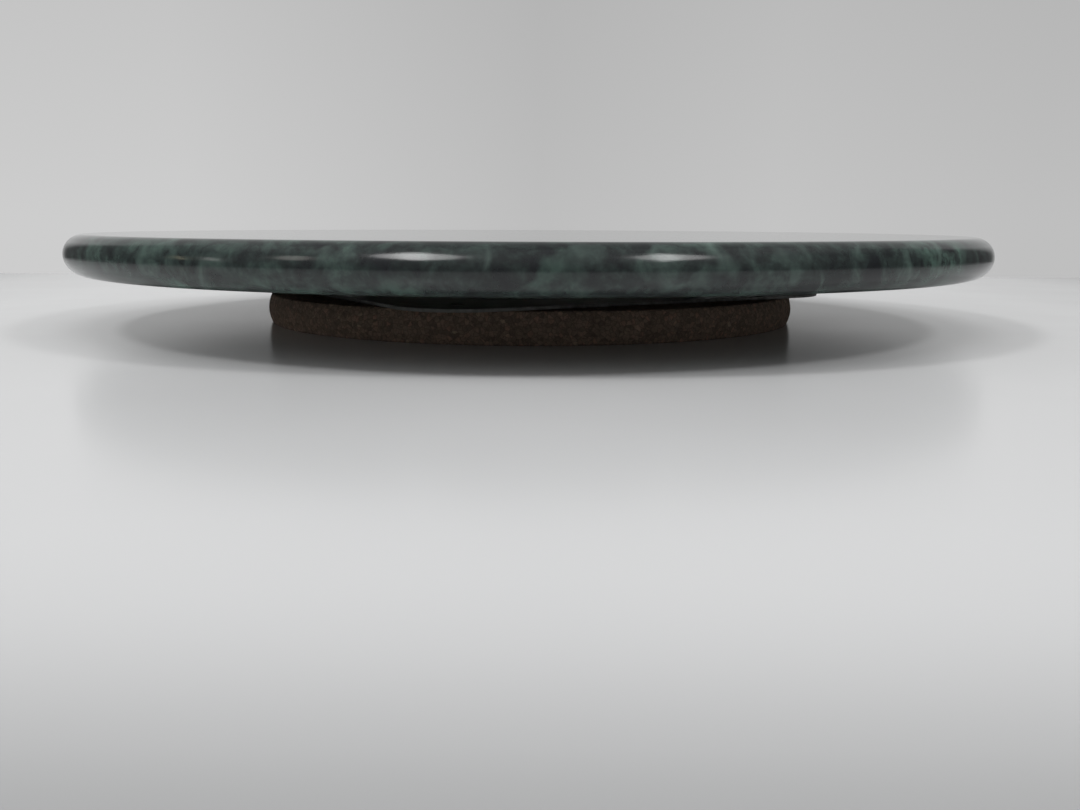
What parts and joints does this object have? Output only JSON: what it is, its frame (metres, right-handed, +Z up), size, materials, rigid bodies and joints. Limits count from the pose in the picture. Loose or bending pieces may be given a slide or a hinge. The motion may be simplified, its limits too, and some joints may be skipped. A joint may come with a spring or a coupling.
{
  "type": "lazy susan turntable",
  "caption": "Round polished stone serving turntable on a flat square-plate ball bearing, standing on a thin round cork base.",
  "frame": {"origin": "on the supporting surface, on the turning axis, under the centre of the cork base", "axes": "+Z up along the turning axis; X and Y lie in the supporting surface, with -Y towards the viewer"},
  "size_m": [0.3048, 0.3046, 0.0296],
  "materials": {
    "marble": "polished",
    "cork": "open-grained agglomerated cork",
    "plate_steel": "zinc-plated sheet",
    "ball_steel": "polished",
    "cage_nylon": "moulded",
    "adhesive": "set adhesive"
  },
  "bodies": {
    "base": {"cork_base": "cork", "base_adhesive": "adhesive", "lower_plate": "plate_steel"},
    "ball_set": {"ball_cage": "cage_nylon", "ball_01": "ball_steel", "ball_02": "ball_steel", "ball_03": "ball_steel", "ball_04": "ball_steel", "ball_05": "ball_steel", "ball_06": "ball_steel", "ball_07": "ball_steel", "ball_08": "ball_steel", "ball_09": "ball_steel", "ball_10": "ball_steel", "ball_11": "ball_steel", "ball_12": "ball_steel", "ball_13": "ball_steel", "ball_14": "ball_steel", "ball_15": "ball_steel", "ball_16": "ball_steel", "ball_17": "ball_steel", "ball_18": "ball_steel", "ball_19": "ball_steel", "ball_20": "ball_steel", "ball_21": "ball_steel", "ball_22": "ball_steel", "ball_23": "ball_steel", "ball_24": "ball_steel"},
    "turntable": {"upper_plate": "plate_steel", "top_adhesive": "adhesive", "marble_top": "marble"}
  },
  "joints": [
    {"name": "turntable_spin", "type": "hinge", "parent": "base", "child": "turntable", "pos_m": [0, 0, 0.0135], "axis": [0, 0, 1], "continuous": true},
    {"name": "ball_orbit", "type": "hinge", "parent": "base", "child": "ball_set", "pos_m": [0, 0, 0.0135], "axis": [0, 0, 1], "continuous": true}
  ],
  "couplings": [
    {"joint": "ball_orbit", "follows": "turntable_spin", "ratio": 0.5}
  ]
}
